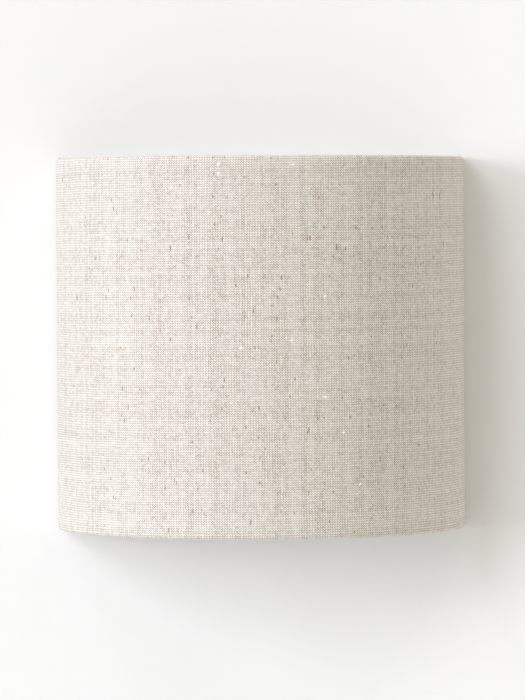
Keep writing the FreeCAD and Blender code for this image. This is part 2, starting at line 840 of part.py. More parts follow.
def make_lamp_arm():
    tip = -(d.lamp_depth + d.arm_reach)
    inner_bend = d.arm_bend - d.arm_thickness
    arm = pressed(
        "arm",
        "YZ_Plane",
        d.arm_width,
        [
            [
                (tip, arm_under),
                (plate_face - d.arm_bend, arm_under),
                (plate_face, arm_under + d.arm_bend, d.arm_bend),
                (plate_face, arm_top + d.arm_rise),
                (arm_face, arm_top + d.arm_rise),
                (arm_face, arm_top + inner_bend),
                (arm_face - inner_bend, arm_top, -inner_bend),
                (tip, arm_top),
            ]
        ],
        middle=True,
    )
    pierce(
        arm,
        "XY_Plane",
        "arm_floor_holes",
        circles=[
            (0, -d.lamp_depth, d.nipple_radius + d.fit_gap),
            (0, -d.arm_hole_depth, d.arm_bush_hole),
        ],
    )
    screw_holes = []
    for _, sign in SIDES:
        screw_holes.append((sign * d.arm_screw_spacing / 2, arm_screw_z, d.screw_radius + d.slack_gap))
    pierce(arm, "XZ_Plane", "arm_screw_holes", circles=screw_holes)
    round_edges(
        arm,
        "arm_rounding",
        d.arm_corner,
        lambda edge: straight_along(edge, Vector(0, 0, 1)) and abs(middle_of(edge).y - tip.value) < 0.01,
    )
    keep("lamp_arm", arm)
    length = d.arm_thickness + d.plate_thickness - d.moving_gap
    screws = []
    for side, sign in SIDES:
        screws.append(
            make_screw(
                f"{side}_arm_screw",
                d.screw_radius,
                length,
                d.head_radius,
                d.head_height,
                sign * d.arm_screw_spacing / 2,
                arm_face,
                arm_screw_z,
            )
        )
    keep("arm_screws", group("arm_screw_pair", screws))


def make_weld_nuts():
    nuts = []
    inside = d.plate_width / 2 - d.plate_thickness
    for side, sign in SIDES:
        start = sign * (inside - d.weld_nut_depth) if sign > 0 else -inside
        blank = doc.addObject("Part::Prism", f"{side}_nut_blank")
        blank.Polygon = 6
        bind(blank, "Circumradius", d.weld_nut_flats / math.sqrt(3))
        bind(blank, "Height", d.weld_nut_depth)
        place(blank, start, -d.thumb_depth, d.thumb_rise, ALONG_X)
        hole = rod(
            f"{side}_nut_hole",
            tap_radius,
            d.weld_nut_depth,
            start,
            -d.thumb_depth,
            d.thumb_rise,
            ALONG_X,
        )
        nuts.append(cut(f"{side}_nut", blank, [hole]))
    keep("weld_nuts", group("weld_nut_pair", nuts))


def make_thumb_screws():
    washer_start = d.plate_width / 2 + 2 * d.moving_gap + d.bar_thickness
    head_start = washer_start + d.washer_thickness + d.seat_gap
    nut_end = d.plate_width / 2 - d.plate_thickness - d.weld_nut_depth
    shank = head_start - nut_end + d.shank_past_nut
    collar = d.thumb_collar_length
    for side, sign in SIDES:
        turn = ALONG_X if sign > 0 else ALONG_MINUS_X
        washer = turned(
            f"{side}_washer_ring",
            [
                (d.screw_radius + d.slack_gap, 0),
                (d.washer_radius, 0),
                (d.washer_radius, d.washer_thickness),
                (d.screw_radius + d.slack_gap, d.washer_thickness),
            ],
            sign * washer_start,
            -d.thumb_depth,
            d.thumb_rise,
            turn,
        )
        keep(f"{side}_washer", washer)
        screw = turned(
            f"{side}_thumb",
            [
                (0, -shank),
                (d.screw_radius, -shank),
                (d.screw_radius, 0),
                (d.thumb_collar_radius, 0),
                (d.thumb_collar_radius, collar),
                (d.thumb_radius - d.thumb_edge, collar),
                (d.thumb_radius, collar + d.thumb_edge),
                (d.thumb_radius, collar + d.thumb_length - d.thumb_edge),
                (d.thumb_radius - d.thumb_edge, collar + d.thumb_length),
                (0, collar + d.thumb_length),
            ],
            sign * head_start,
            -d.thumb_depth,
            d.thumb_rise,
            turn,
        )
        groove = pierce(screw, "XY_Plane", f"{side}_groove", circles=[(d.thumb_radius, 0, d.knurl_radius)])
        knurl = screw.newObject("PartDesign::PolarPattern", f"{side}_knurl")
        knurl.Originals = [groove]
        knurl.Axis = (groove.Profile[0], ["N_Axis"])
        knurl.Angle = 360
        bind(knurl, "Occurrences", d.knurl_count)
        screw.Tip = knurl
        keep(f"{side}_thumb_screw", screw)


# ---- lampholder and bulb: shared places ----
cup_top = arm_top + d.cup_height
insert_top = cup_top + d.insert_rise
insert_under = insert_top - d.insert_thickness
shoulder_z = arm_top + d.holder_shoulder - 2 * d.seat_gap
spring_top = insert_top + d.spring_rise
bulb_foot = spring_top + d.moving_gap
cup_inside = d.holder_radius - d.holder_wall
spigot_outside = cup_inside - d.fit_gap
spigot_inside = spigot_outside - d.spigot_wall
insert_radius = spigot_inside - d.fit_gap


def on_lamp_axis(name, corners):
    """A piece turned about the lamp's own axis, with its heights in the light's frame."""
    return keep(name, turned(f"{name}_turned", corners, 0, -d.lamp_depth))


def make_lampholder():
    nut_low = arm_under - d.holder_nut_height
    on_lamp_axis(
        "holder_nipple",
        [
            (d.nipple_bore, nut_low - d.nipple_below_nut),
            (d.nipple_radius, nut_low - d.nipple_below_nut),
            (d.nipple_radius, arm_top + d.cup_floor + d.nipple_inside),
            (d.nipple_bore, arm_top + d.cup_floor + d.nipple_inside),
        ],
    )
    blank = doc.addObject("Part::Prism", "holder_nut_blank")
    blank.Polygon = 6
    bind(blank, "Circumradius", d.holder_nut_flats / math.sqrt(3))
    bind(blank, "Height", d.holder_nut_height)
    place(blank, 0, -d.lamp_depth, nut_low)
    thread = rod(
        "holder_nut_bore",
        d.nipple_radius + d.seat_gap,
        d.holder_nut_height,
        0,
        -d.lamp_depth,
        nut_low,
    )
    keep("holder_nut", cut("holder_nut_ring", blank, [thread]))
    floor = arm_top + d.cup_floor
    on_lamp_axis(
        "holder_cap",
        [
            (d.nipple_radius + d.seat_gap, arm_top),
            (d.holder_foot_radius, arm_top),
            (d.holder_radius, arm_top + d.holder_shoulder, d.holder_foot_curve),
            (d.holder_radius, cup_top),
            (cup_inside, cup_top),
            (cup_inside, shoulder_z),
            (insert_radius - d.insert_leg - d.seat_gap, shoulder_z),
            (d.cup_well_radius, floor),
            (d.nipple_radius + d.seat_gap, floor),
        ],
    )
    skirt_top = cup_top + d.skirt_height
    on_lamp_axis(
        "holder_skirt",
        [
            (spigot_inside, cup_top - d.spigot_length),
            (spigot_outside, cup_top - d.spigot_length),
            (spigot_outside, cup_top),
            (d.holder_radius, cup_top),
            (d.skirt_top_radius, skirt_top - d.skirt_edge),
            (d.skirt_top_radius - d.skirt_edge, skirt_top, d.skirt_edge),
            (d.skirt_bore, skirt_top),
            (d.skirt_bore, insert_top),
            (spigot_inside, insert_top),
        ],
    )
    leg_inside = insert_radius - d.insert_leg
    on_lamp_axis(
        "holder_insert",
        [
            (0, insert_under),
            (leg_inside, insert_under),
            (leg_inside, shoulder_z),
            (insert_radius, shoulder_z),
            (insert_radius, insert_top),
            (0, insert_top),
        ],
    )
    on_lamp_axis(
        "screw_shell",
        [
            (d.shell_floor_hole, insert_top),
            (d.shell_bore + d.shell_wall, insert_top),
            (d.shell_bore + d.shell_wall, insert_top + d.shell_height),
            (d.shell_bore, insert_top + d.shell_height),
            (d.shell_bore, insert_top + d.shell_wall),
            (d.shell_floor_hole, insert_top + d.shell_wall),
        ],
    )
    spring = pressed(
        "spring",
        "XZ_Plane",
        d.spring_width,
        [
            [
                (-d.spring_foot, insert_top),
                (-d.spring_tip, insert_top),
                (-d.spring_tip + d.spring_thickness, spring_top - d.spring_thickness),
                (d.spring_tip, spring_top - d.spring_thickness),
                (d.spring_tip, spring_top),
                (-d.spring_tip, spring_top),
                (-d.spring_tip - d.spring_thickness, insert_top + d.spring_thickness),
                (-d.spring_foot, insert_top + d.spring_thickness),
            ]
        ],
        middle=True,
    )
    place(spring, 0, -d.lamp_depth)
    keep("contact_spring", spring)
    blocks = []
    screws = []
    half = d.clamp_block / 2
    block_low = insert_under - d.clamp_block_height
    for side, sign in SIDES:
        x = sign * d.clamp_block_offset
        screw_z = block_low + d.clamp_block_depth / 2
        front = -d.lamp_depth - half
        solid = box(
            f"{side}_clamp_block",
            (x - half, x + half),
            (front, -d.lamp_depth + half),
            (block_low, insert_under),
        )
        bore = rod(
            f"{side}_clamp_bore",
            d.clamp_block_bore,
            d.clamp_block_depth,
            x,
            -d.lamp_depth,
            block_low,
        )
        tap = rod(
            f"{side}_clamp_tap",
            d.clamp_radius + d.tap_gap,
            half,
            x,
            -d.lamp_depth,
            screw_z,
            OUT_OF_WALL,
        )
        blocks.append(cut(f"{side}_clamp", solid, [bore, tap]))
        tip_y = -d.lamp_depth - d.clamp_block_bore
        shank = rod(f"{side}_clamp_shank", d.clamp_radius, tip_y - front, x, tip_y, screw_z, OUT_OF_WALL)
        head = rod(
            f"{side}_clamp_head",
            d.clamp_head_radius,
            d.clamp_head_height,
            x,
            front,
            screw_z,
            OUT_OF_WALL,
        )
        slot = box(
            f"{side}_clamp_slot",
            (x - d.clamp_head_radius, x + d.clamp_head_radius),
            (front - d.clamp_head_height, front - d.clamp_head_height + d.slot_depth),
            (screw_z - d.slot_width / 2, screw_z + d.slot_width / 2),
        )
        screws.append(cut(f"{side}_clamp_screw", join(f"{side}_clamp_blank", [shank, head]), [slot]))
    keep("holder_terminals", group("clamp_pair", blocks))
    keep("holder_terminal_screws", group("clamp_screw_pair", screws))


def make_bulb():
    foot = bulb_foot
    on_lamp_axis(
        "bulb_contact",
        [
            (0, foot),
            (d.contact_radius - d.contact_height, foot),
            (d.contact_radius, foot + d.contact_height, d.contact_height),
            (0, foot + d.contact_height),
        ],
    )
    insulator_low = foot + d.contact_height + d.seat_gap
    on_lamp_axis(
        "bulb_insulator",
        [
            (0, insulator_low),
            (d.contact_radius + d.seat_gap, insulator_low),
            (d.insulator_radius, foot + d.insulator_top - d.bulb_cap_wall),
            (d.insulator_radius, foot + d.insulator_top),
            (0, foot + d.insulator_top),
        ],
    )
    cap_low = foot + d.insulator_top
    root_radius = d.thread_radius - d.thread_depth
    cap_inside = root_radius - d.bulb_cap_wall
    corners = [
        (d.insulator_radius - d.bulb_cap_wall, cap_low),
        (root_radius - d.thread_depth, cap_low),
        (root_radius, cap_low + d.thread_depth),
    ]
    for turn_number in range(number(d.thread_turns)):
        start = foot + d.thread_start + turn_number * d.thread_pitch
        corners.append((root_radius, start))
        corners.append((d.thread_radius, start + d.thread_pitch * d.crest_start))
        corners.append((d.thread_radius, start + d.thread_pitch * d.crest_end))
        corners.append((root_radius, start + d.thread_pitch * d.groove_start))
    corners.append((root_radius, foot + d.bulb_cap_top))
    corners.append((cap_inside, foot + d.bulb_cap_top))
    corners.append((cap_inside, cap_low + d.bulb_cap_wall + d.thread_depth))
    corners.append((d.insulator_radius - d.bulb_cap_wall, cap_low + d.bulb_cap_wall))
    on_lamp_axis("bulb_cap", corners)
    globe_centre = foot + d.bulb_length - d.bulb_radius
    rim_square = d.bulb_radius * d.bulb_radius - d.collar_top_radius * d.collar_top_radius
    rim_z = globe_centre - root(rim_square)
    globe_inside = d.bulb_radius - d.globe_wall
    waist_z = foot + d.collar_waist
    flare = (d.collar_top_radius - d.collar_waist_radius) / (rim_z - waist_z)
    inside_rim = d.collar_top_radius - d.collar_wall
    deck_top = rim_z - d.deck_drop
    deck_under = deck_top - d.collar_wall
    plug_radius = cap_inside - d.fit_gap
    neck_low = foot + d.collar_foot
    on_lamp_axis(
        "bulb_collar",
        [
            (plug_radius - d.collar_wall, foot + d.collar_plug),
            (plug_radius, foot + d.collar_plug),
            (plug_radius, neck_low),
            (d.collar_neck_radius, neck_low),
            (d.collar_waist_radius, waist_z, -d.collar_curve),
            (d.collar_top_radius, rim_z),
            (inside_rim, rim_z),
            (inside_rim - flare * (rim_z - deck_top), deck_top),
            (0, deck_top),
            (0, deck_under),
            (inside_rim - flare * (rim_z - deck_under), deck_under),
            (d.collar_waist_radius - d.collar_wall, waist_z),
            (plug_radius - d.collar_wall, neck_low),
        ],
    )
    on_lamp_axis(
        "bulb_board",
        [
            (0, deck_top),
            (d.board_radius, deck_top),
            (d.board_radius, deck_top + d.board_thickness),
            (0, deck_top + d.board_thickness),
        ],
    )
    globe_low = rim_z + d.seat_gap
    low_square = d.bulb_radius * d.bulb_radius - (globe_centre - globe_low) * (globe_centre - globe_low)
    inner_square = globe_inside * globe_inside - (globe_centre - globe_low) * (globe_centre - globe_low)
    on_lamp_axis(
        "bulb_globe",
        [
            (root(inner_square), globe_low, -globe_inside),
            (root(low_square), globe_low),
            (d.bulb_radius, globe_centre, d.bulb_radius),
            (0, globe_centre + d.bulb_radius, d.bulb_radius),
            (0, globe_centre + globe_inside),
            (globe_inside, globe_centre, -globe_inside),
        ],
    )


def rounded_path(points):
    """Straight runs joined by tangent arcs, each as large as its two runs allow."""
    corners = [Vector(*[number(value) for value in point]) for point in points]
    edges = []
    radii = []
    at = corners[0]
    for before, corner, after in zip(corners, corners[1:], corners[2:]):
        arriving = corner - before
        leaving = after - corner
        half_turn = arriving.getAngle(leaving) / 2
        trim = 0.45 * min(arriving.Length, leaving.Length)
        radius = trim / math.tan(half_turn)
        radii.append(radius)
        arriving = Vector(arriving).normalize()
        leaving = Vector(leaving).normalize()
        start = corner - arriving * trim
        end = corner + leaving * trim
        towards = (leaving - arriving).normalize()
        middle = corner + towards * (radius / math.cos(half_turn) - radius)
        edges.append(Part.LineSegment(at, start).toShape())
        edges.append(Part.Arc(start, middle, end).toShape())
        at = end
    edges.append(Part.LineSegment(at, corners[-1]).toShape())
    return Part.Wire(edges), radii


def make_lead(name, points, radius):
    path, radii = rounded_path(points)
    start = path.Edges[0].valueAt(path.Edges[0].FirstParameter)
    heading = path.Edges[0].tangentAt(path.Edges[0].FirstParameter)
    section = Part.Wire([Part.Circle(start, heading, radius).toShape()])
    solid = path.makePipeShell([section], True, False)
    expected = math.pi * radius * radius * path.Length
    print(name, "radii", [round(value, 1) for value in radii], "length", round(path.Length, 1))
    if abs(solid.Volume - expected) > 0.01 * expected:
        raise RuntimeError(f"{name} holds {solid.Volume:.1f}, not {expected:.1f}")
    made = doc.addObject("Part::Feature", f"{name}_tube")
    made.Shape = solid
    made.Placement = FreeCAD.Placement()
    keep(name, made)


def make_leads():
    """Two wires from the block through the arm's bush and up the nipple, and one to the earth tag."""
    barrel_y = plate_face - d.barrel_depth
    barrel_foot = d.block_rise - d.barrel_length / 2
    in_barrel = barrel_foot + d.lead_insertion
    run_y = -d.arm_hole_depth + d.lead_setback
    parting = barrel_foot - d.lead_straight
    low_z = arm_top - d.lead_sag
    lamp_y = -d.lamp_depth
    clamp_foot = insert_under - d.clamp_block_height
    for name, sign in (("live_wire", -1), ("neutral_wire", 1)):
        outer_x = sign * d.pole_pitch
        inner_x = sign * d.lead_spread
        clamp_x = sign * d.clamp_block_offset
        make_lead(
            name,
            [
                (outer_x, barrel_y, in_barrel),
                (outer_x, barrel_y, parting),
                (inner_x, run_y, parting - d.lead_gather),
                (inner_x, run_y, low_z),
                (inner_x, lamp_y, low_z),
                (inner_x, lamp_y, low_z + d.lead_climb),
                (clamp_x, lamp_y, clamp_foot - d.lead_flare),
                (clamp_x, lamp_y, clamp_foot + d.lead_insertion),
            ],
            number(d.lead_radius),
        )
    crimp_y = plate_face - d.crimp_radius - d.seat_gap
    crimp_end = -d.earth_offset + d.tag_tail + d.crimp_length
    make_lead(
        "earth_wire",
        [
            (0, barrel_y, in_barrel),
            (0, barrel_y, barrel_foot - d.earth_straight),
            (crimp_end + d.earth_reach, crimp_y, -d.earth_drop),
            (crimp_end - d.lead_insertion, crimp_y, -d.earth_drop),
        ],
        number(d.lead_radius),
    )


make_shade_fabric()
make_shade_liner()
make_shade_frame()
make_wall_plate()
make_bush(
    "cable_bush",
    d.cable_bore,
    d.cable_hole_radius,
    d.plate_thickness,
    1,
    0,
    plate_face / 2,
    d.cable_rise,
    OUT_OF_WALL,
)
make_terminal_block()
make_earth_point()
make_lamp_arm()
make_bush(
    "arm_bush",
    d.arm_bush_bore,
    d.arm_bush_hole,
    d.arm_thickness,
    2,
    0,
    -d.arm_hole_depth,
    arm_top - d.arm_thickness / 2,
    UPRIGHT,
)
make_weld_nuts()
make_thumb_screws()
make_lampholder()
make_bulb()
make_leads()
doc.recompute()

faults = []
for item in doc.Objects:
    if "Invalid" in item.State or "Error" in item.State:
        faults.append(f"{item.Label}: {item.State}")
for name, item in parts.items():
    if item.Shape.isNull() or not item.Shape.isValid() or not item.Shape.Solids:
        faults.append(f"{name}: no valid solid")
if faults:
    raise RuntimeError("; ".join(faults))

os.makedirs("parts", exist_ok=True)
for name, item in parts.items():
    item.Shape.exportStep(f"parts/{name}.step")
    span = item.Shape.BoundBox
    print(f"{name}: {len(item.Shape.Solids)} solids, z {span.ZMin:.1f} to {span.ZMax:.1f}")
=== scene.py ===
import bpy
import math
import numpy as np
from functools import partial
from mathutils import Matrix, Vector


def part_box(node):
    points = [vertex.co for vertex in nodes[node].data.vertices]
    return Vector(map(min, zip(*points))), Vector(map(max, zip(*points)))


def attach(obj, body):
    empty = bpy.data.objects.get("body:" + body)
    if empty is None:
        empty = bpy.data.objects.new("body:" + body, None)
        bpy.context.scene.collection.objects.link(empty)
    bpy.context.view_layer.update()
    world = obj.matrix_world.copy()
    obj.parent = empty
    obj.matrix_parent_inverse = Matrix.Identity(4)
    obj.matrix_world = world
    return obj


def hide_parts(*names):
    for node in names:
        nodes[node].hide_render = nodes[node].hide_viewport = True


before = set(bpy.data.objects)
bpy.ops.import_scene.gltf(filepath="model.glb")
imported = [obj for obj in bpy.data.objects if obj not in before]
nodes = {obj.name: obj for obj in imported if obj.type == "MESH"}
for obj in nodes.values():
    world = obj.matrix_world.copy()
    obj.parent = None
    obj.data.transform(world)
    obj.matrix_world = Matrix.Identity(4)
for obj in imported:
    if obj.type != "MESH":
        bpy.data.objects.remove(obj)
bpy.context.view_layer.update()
mm = 0.001
print("frame loaded:", len(nodes), "nodes")


# sRGB hex to linear red, green, blue, 1: a straight foot, then a power curve
def toLinear(hexColour):
    out = []
    for at in (1, 3, 5):
        c = int(hexColour[at:at + 2], 16) / 255
        out.append(c / 12.92 if c <= 0.04045 else ((c + 0.055) / 1.055) ** 2.4)
    return (*out, 1.0)


# one shader node with its settings; each input is a value or another node's output, and one of the new node's
# outputs comes back
def addNode(tree, kind, inputs=(), output=0, **settings):
    node = tree.nodes.new("ShaderNode" + kind)
    for name, value in settings.items():
        setattr(node, name, value)
    for name, value in dict(inputs).items():
        socket = node.inputs[name]
        if isinstance(value, bpy.types.NodeSocket):
            tree.links.new(value, socket)
        else:
            socket.default_value = value
    return node.outputs[output]


# a Principled material with plain values on its own sockets
def newMaterial(name, sockets):
    material = bpy.data.materials.new(name)
    material.use_nodes = True
    shader = material.node_tree.nodes["Principled BSDF"]
    for key, value in sockets.items():
        shader.inputs[key].default_value = value
    return material, material.node_tree, shader


# quads between the rows and columns of a (rows, columns, 3) array of points
def gridMesh(name, points, uv=None):
    rows, columns = points.shape[:2]
    index = np.arange(rows * columns).reshape(rows, columns)
    corners = index[:-1, :-1], index[:-1, 1:], index[1:, 1:], index[1:, :-1]
    faces = np.stack(corners, axis=-1).reshape(-1, 4)
    mesh = bpy.data.meshes.new(name)
    mesh.from_pydata(points.reshape(-1, 3), [], faces)
    if uv is not None:
        layer = mesh.uv_layers.new(name="UVMap")
        layer.data.foreach_set("uv", uv.reshape(-1, 2)[faces.ravel()].astype(np.float32).ravel())
    mesh.polygons.foreach_set("use_smooth", np.ones(len(faces), bool))
    mesh.update()
    return mesh


# a sheet: one surface that gets its thickness inwards, rides on the shade and stands for a CAD node
def newSheet(name, mesh, material, replaced, thickness, even):
    piece = bpy.data.objects.new(name, mesh)
    bpy.context.scene.collection.objects.link(piece)
    mesh.materials.append(material)
    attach(piece, "shade")
    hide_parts(replaced)
    wall = piece.modifiers.new("thickness", "SOLIDIFY")
    wall.thickness = thickness
    wall.offset = -1
    wall.use_even_offset = even
    return piece


# linen, a plain weave of flax: matt, slubby and undyed, with a pale fuzz at grazing angles
linenLook = {
    "warpPitch": 0.695 * mm,  # upright threads, tan
    "weftPitch": 0.6225 * mm,  # level threads, bleached; they lie in pairs
    "weftLean": 0.008,  # the cloth is laid slightly askew
    "warpWander": 0.6,  # how far threads stray, in pitches
    "weftWander": 0.4,
    "warpStray": (12.5 * mm, 22.22 * mm),  # across and along the cloth, how far apart the strays are
    "weftStray": (22.22 * mm, 16.67 * mm),
    "warpTones": ("#947d6a", "#b8ab9d", "#cac2b7"),
    "weftTones": ("#d1cdc6", "#e1e0dc", "#ebeae8"),
    "toneStops": (0.28, 0.47, 0.74),  # where the three tones stand between 0 and 1
    "ownShare": 0.20,  # how much of a thread's tone is its own,
    "driftShare": 0.55,  # changes along it,
    "crossingShare": 0.24,  # and differs from crossing to crossing
    "driftLength": 5.882 * mm,
    # the next two values paint shade into the gaps between pairs of threads and light onto the threads'
    # middles
    "warpGapPaintedShade": 0.45,  # how dark the gaps between pairs of threads are
    "weftGapPaintedShade": 0.42,
    "pairSpread": 0.10,  # how much one pair's crossing differs from the next in brightness
    "sunkPatch": (10.526 * mm, 16.67 * mm),  # patches where the tan threads sink, across and along
    "sunkRange": (0.35, 0.72),  # levels of the noise between which they do
    "sunkTint": 0.12,
    "slub": "#8d725a",
    "slubLength": 5.263 * mm,
    "slubRange": (0.765, 0.81),  # levels of the noise between which one shows
    "slubHidden": 0.3,  # share that a level thread hides
    "knot": "#f1efea",
    "knotRarity": 0.9994,
    "threadHeight": 0.12 * mm,
    "relief": 0.6,
}


def makeLinen():
    look = linenLook
    material, tree, shader = newMaterial("wovenLinen", {
        "Roughness": 0.92, "Specular IOR Level": 0.25, "Sheen Weight": 0.3, "Sheen Roughness": 0.45})
    add = partial(addNode, tree)
    uv = add("UVMap", uv_map="UVMap")
    u, v = (add("SeparateXYZ", {0: uv}, output=axis) for axis in "XY")

    # slow noise over the whole cloth, in cells of a size across and along it; the shifts and jumps below only
    # keep the noises from repeating each other
    def clothNoise(size, shift=0.0, detail=2.0):
        scale = (1 / size[0], 1 / size[1], 1)
        place = add("Mapping", {"Vector": uv, "Location": (0, shift, 0), "Scale": scale})
        return add("TexNoise", {"Vector": place, "Scale": 1.0, "Detail": detail}, noise_dimensions="2D")

    # noise that runs along a thread, and jumps from each thread to the next
    def threadNoise(threadId, jump, along, length, shift, detail, roughness):
        across = add("Math", {0: threadId, 1: jump}, operation="MULTIPLY")
        along = add("Math", {0: along, 1: 1 / length, 2: shift}, operation="MULTIPLY_ADD")
        place = add("CombineXYZ", {"X": across, "Y": along})
        return add("TexNoise", {"Vector": place, "Scale": 1.0, "Detail": detail, "Roughness": roughness},
                   noise_dimensions="2D")

    # number of the pair that a thread belongs to
    def pairOf(count):
        half = add("Math", {0: count, 1: 0.5}, operation="MULTIPLY")
        return add("Math", {0: half}, operation="FLOOR")

    # thread count = length / pitch + slow noise, so that no thread runs dead straight
    def countThreads(along, pitch, stray, wander):
        centred = add("Math", {0: stray, 1: 0.5}, operation="SUBTRACT")
        shift = add("Math", {0: centred, 1: 2 * wander}, operation="MULTIPLY")
        return add("Math", {0: along, 1: 1 / pitch, 2: shift}, operation="MULTIPLY_ADD")

    leant = add("Math", {0: u, 1: -look["weftLean"], 2: v}, operation="MULTIPLY_ADD")
    warpStray = clothNoise(look["warpStray"])
    weftStray = clothNoise(look["weftStray"], shift=31.0)
    warp = countThreads(u, look["warpPitch"], warpStray, look["warpWander"])
    weft = countThreads(leant, look["weftPitch"], weftStray, look["weftWander"])
    warpId = add("Math", {0: warp}, operation="FLOOR")
    weftId = add("Math", {0: weft}, operation="FLOOR")

    # swell = |sin(half turns of the count)|: 1 on the middle of a thread, or of a pair, and 0 between them
    def swell(count, perThread):
        halfTurns = add("Math", {0: count, 1: math.pi * perThread}, operation="MULTIPLY")
        wave = add("Math", {0: halfTurns}, operation="SINE")
        return add("Math", {0: wave}, operation="ABSOLUTE")

    # plain weave: which thread is on top changes from each crossing to the next
    both = add("Math", {0: warpId, 1: weftId}, operation="ADD")
    isWeft = add("Math", {0: both, 1: 1.0}, operation="PINGPONG")
    warpSwell, weftSwell = swell(warp, 1.0), swell(weft, 1.0)
    warpDip = add("Math", {0: weftSwell, 1: 0.5, 2: 0.5}, operation="MULTIPLY_ADD")
    weftDip = add("Math", {0: warpSwell, 1: 0.5, 2: 0.5}, operation="MULTIPLY_ADD")
    warpTop = add("Math", {0: warpSwell, 1: warpDip}, operation="MULTIPLY")
    weftTop = add("Math", {0: weftSwell, 1: weftDip}, operation="MULTIPLY")
    height = add("Mix", {0: isWeft, 2: warpTop, 3: weftTop})

    # a thread's tone = its own share + a drift along it + a share of each crossing's, round a half
    place = add("CombineXYZ", {"X": warpId, "Y": weftId})
    crossing = add("TexWhiteNoise", {"Vector": place}, noise_dimensions="2D")
    rest = 0.5 - (look["ownShare"] + look["driftShare"] + look["crossingShare"]) / 2
    crossing = add("Math", {0: crossing, 1: look["crossingShare"], 2: rest}, operation="MULTIPLY_ADD")

    def threadColour(count, along, shift, tones):
        pair = pairOf(count)
        seed = add("Math", {0: pair, 1: shift}, operation="ADD")
        own = add("TexWhiteNoise", {"W": seed}, noise_dimensions="1D")
        drift = threadNoise(pair, 3.71, along, look["driftLength"], shift, detail=3.0, roughness=0.65)
        drift = add("Math", {0: drift, 1: look["driftShare"]}, operation="MULTIPLY")
        tone = add("Math", {0: own, 1: look["ownShare"], 2: drift}, operation="MULTIPLY_ADD")
        tone = add("Math", {0: tone, 1: crossing}, operation="ADD")
        colour = add("ValToRGB", {0: tone})
        dark, middle, light = look["toneStops"]
        stops = colour.node.color_ramp.elements
        stops[0].position, stops[0].color = dark, toLinear(tones[0])
        stops[1].position, stops[1].color = light, toLinear(tones[2])
        stops.new(middle).color = toLinear(tones[1])
        return colour

    warpColour = threadColour(warp, v, 17.0, look["warpTones"])
    weftColour = threadColour(weft, u, 71.0, look["weftTones"])

    # in some patches the tan threads sink between the pale ones, and only level lines are left
    start, end = look["sunkRange"]
    sunk = add("MapRange", {0: clothNoise(look["sunkPatch"], shift=57.0, detail=3.0), 1: start, 2: end})
    sunkTint = add("Math", {0: sunk, 1: look["sunkTint"]}, operation="MULTIPLY")
    warpColour = add("Mix", {0: sunkTint, 6: warpColour, 7: weftColour}, output=2, data_type="RGBA")
    colour = add("Mix", {0: isWeft, 6: warpColour, 7: weftColour}, output=2, data_type="RGBA")

    # brown slubs lie along some upright threads, fainter where a level thread crosses them
    start, end = look["slubRange"]
    slub = threadNoise(warpId, 5.3, v, look["slubLength"], shift=0.0, detail=1.0, roughness=0.5)
    slub = add("MapRange", {0: slub, 1: start, 2: end})
    shown = add("Math", {0: isWeft, 1: -look["slubHidden"], 2: 1.0}, operation="MULTIPLY_ADD")
    slub = add("Math", {0: slub, 1: shown}, operation="MULTIPLY")
    colour = add("Mix", {0: slub, 6: colour, 7: toLinear(look["slub"])}, output=2, data_type="RGBA")

    # a few pale knots, each as large as a pair of threads
    place = add("CombineXYZ", {"X": pairOf(warp), "Y": pairOf(weft)})
    chance = add("TexWhiteNoise", {"Vector": place}, noise_dimensions="2D")
    knot = add("Math", {0: chance, 1: look["knotRarity"]}, operation="GREATER_THAN")
    colour = add("Mix", {0: knot, 6: colour, 7: toLinear(look["knot"])}, output=2, data_type="RGBA")

    # painted shade and painted light: brightness = 1 + gap * (the pair's swell - its mean), painted darker in
    # the gaps between pairs of threads where shade falls, and lighter on their middles
    def paintedPairShade(count, gap):
        above = add("Math", {0: swell(count, 0.5), 1: 2 / math.pi}, operation="SUBTRACT")
        return add("Math", {0: above, 1: gap, 2: 1.0}, operation="MULTIPLY_ADD")

    raised = add("Math", {0: 1.0, 1: sunk}, operation="SUBTRACT")
    warpPaintedGap = add("Math", {0: raised, 1: look["warpGapPaintedShade"]}, operation="MULTIPLY")
    warpPaintedShade, weftPaintedShade = paintedPairShade(warp, warpPaintedGap), paintedPairShade(weft, look["weftGapPaintedShade"])
    shade = add("Math", {0: warpPaintedShade, 1: weftPaintedShade}, operation="MULTIPLY")
    spread = look["pairSpread"]
    uneven = add("Math", {0: chance, 1: spread, 2: 1 - spread / 2}, operation="MULTIPLY_ADD")
    shade = add("Math", {0: shade, 1: uneven}, operation="MULTIPLY")
    # the painted shade and light as a grey, multiplied into the linen's colour
    paintedShadeGrey = add("CombineColor", {0: shade, 1: shade, 2: shade})
    colour = add("Mix", {0: 1.0, 6: colour, 7: paintedShadeGrey}, output=2, data_type="RGBA", blend_type="MULTIPLY")
    tree.links.new(colour, shader.inputs["Base Color"])
    bump = add("Bump", {"Strength": look["relief"], "Distance": look["threadHeight"], "Height": height})
    tree.links.new(bump, shader.inputs["Normal"])
    return material


# linen cover: a half drum whose edges roll round the frame's wires
cover = {
    "thickness": 0.6 * mm,
    "hemRadius": 2.2 * mm,  # outside of the rolled hems
    "ringTurn": 250.0,  # degrees that the top and bottom hems roll
    "cornerTurn": 95.0,  # and at the rear corners, where the cloth is mitred
    "strutTurn": 215.0,  # degrees that the rear hems roll
    "mitre": 5 * mm,  # of hem over which the roll grows to its full turn
    "waviness": 0.05,  # share of the hem's radius
    "waves": (3, 7, 13, 22),  # half waves along the hem
    "waveStart": 0.25,  # share of the roll over which the waves set in
    "seed": 3,
    "wallColumns": 181,
    "wallRows": 41,
    "rearColumns": 16,
    "hemRows": 18,
}


# 3x^2 - 2x^3 between 0 and 1
def smoothStep(x):
    x = np.clip(x, 0, 1)
    return x * x * (3 - 2 * x)


